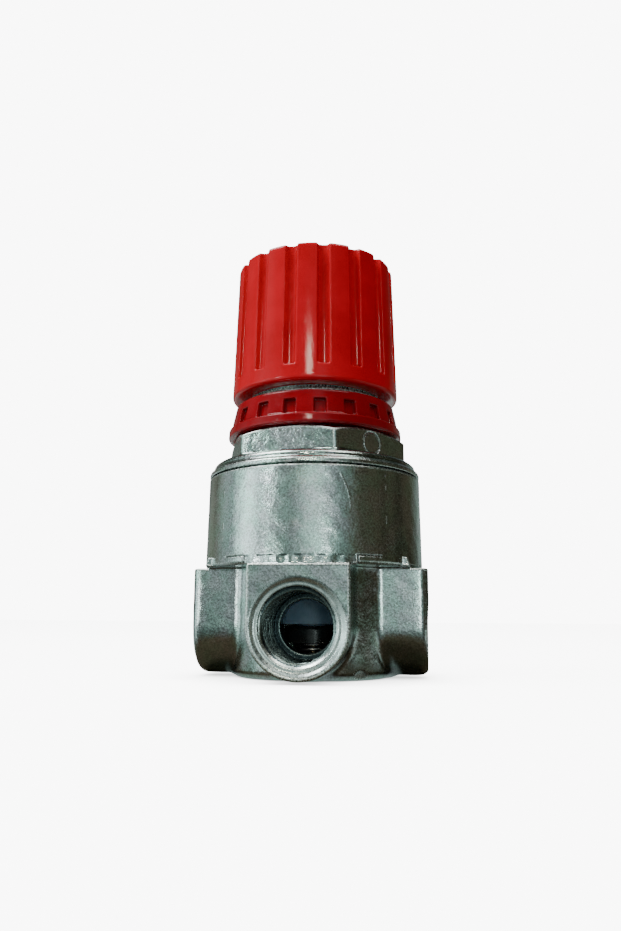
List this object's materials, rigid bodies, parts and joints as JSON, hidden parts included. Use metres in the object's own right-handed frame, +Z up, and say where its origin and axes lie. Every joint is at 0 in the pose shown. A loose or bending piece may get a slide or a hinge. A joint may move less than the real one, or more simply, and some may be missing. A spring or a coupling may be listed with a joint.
{
  "type": "air pressure regulator",
  "caption": "Air pressure regulator: die-cast body with threaded ports on each side, spring bonnet with hexagon, lock ring and fluted rising knob.",
  "frame": {"origin": "centre of the base, on the regulator's axis", "axes": "+Z up along the axis from the base to the knob; -Y out of the inlet port"},
  "size_m": [0.0426, 0.0426, 0.079],
  "materials": {
    "nickel_plated_zinc": "nickel-plated die casting, lightly grained",
    "white_nylon": "natural nylon",
    "black_rubber": "smooth nitrile",
    "brass": "turned",
    "plate_aluminium": "turned",
    "plated_steel": "zinc plated",
    "spring_steel": "drawn wire",
    "red_plastic": "glossy moulded"
  },
  "bodies": {
    "housing": {"body_casting": "nickel_plated_zinc", "bonnet": "nickel_plated_zinc", "valve_seat": "white_nylon", "valve_seat_o_ring": "black_rubber", "bottom_plug": "brass", "bottom_plug_o_ring": "black_rubber", "slip_ring": "white_nylon", "diaphragm": "black_rubber"},
    "spring_seat": {"upper_spring_seat": "plated_steel", "main_spring": "spring_steel"},
    "adjusting_knob": {"knob": "red_plastic", "thrust_pin": "plated_steel"},
    "ring_nut": {"lock_ring": "red_plastic"},
    "diaphragm_centre": {"diaphragm_plate": "plate_aluminium", "diaphragm_washer": "plated_steel", "relief_seat": "brass", "diaphragm_nut": "brass"},
    "poppet": {"poppet_stem": "brass", "poppet_seal": "black_rubber", "poppet_spring": "spring_steel"}
  },
  "joints": [
    {"name": "knob_rise", "type": "slide", "parent": "housing", "child": "spring_seat", "axis": [0, 0, 1], "range_m": [-0.00135, 0.0045], "deforming": ["main_spring"]},
    {"name": "knob_turn", "type": "hinge", "parent": "spring_seat", "child": "adjusting_knob", "pos_m": [0, 0, 0.0615], "axis": [0, 0, 1], "range_deg": [-324, 1080]},
    {"name": "lock_ring_turn", "type": "hinge", "parent": "housing", "child": "ring_nut", "pos_m": [0, 0, 0.0441], "axis": [0, 0, 1], "range_deg": [0, 330]},
    {"name": "diaphragm_travel", "type": "slide", "parent": "housing", "child": "diaphragm_centre", "axis": [0, 0, 1], "range_m": [-0.0012, 0], "stiffness_N_per_m": 300, "springref_m": 0.003, "deforming": ["diaphragm", "main_spring"]},
    {"name": "poppet_travel", "type": "slide", "parent": "housing", "child": "poppet", "axis": [0, 0, 1], "range_m": [-0.0012, 0], "deforming": ["poppet_spring"]}
  ],
  "couplings": [
    {"joint": "knob_turn", "follows": "knob_rise", "rad_per_m": 4188.8},
    {"joint": "poppet_travel", "follows": "diaphragm_travel", "ratio": 1}
  ]
}
